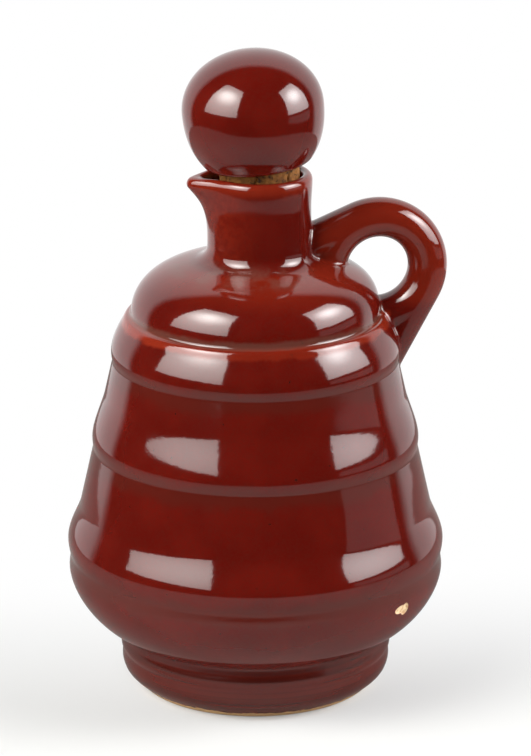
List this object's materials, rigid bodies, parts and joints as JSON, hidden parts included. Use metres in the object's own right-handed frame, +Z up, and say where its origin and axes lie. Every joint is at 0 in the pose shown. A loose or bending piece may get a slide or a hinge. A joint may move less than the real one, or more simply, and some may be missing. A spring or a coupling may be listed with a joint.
{
  "type": "decanter",
  "caption": "Ridged red-brown glazed ceramic decanter with a pouring lip, a finger-loop handle and a ball stopper on a cork.",
  "frame": {"origin": "the middle of the footprint's box, on the table under the foot; the jug's own axis is 0.85 mm to -X of it, because the handle reaches further out than the widest ridge", "axes": "+Z up, +X to the handle, -X to the pouring lip, -Y to the front shown"},
  "size_m": [0.1378, 0.1362, 0.2354],
  "materials": {
    "glaze": "glossy red-brown glaze over tan clay",
    "cork": "raw cork"
  },
  "bodies": {
    "root": {"jug": "glaze", "stopper_ball": "glaze", "cork": "cork"}
  },
  "joints": []
}
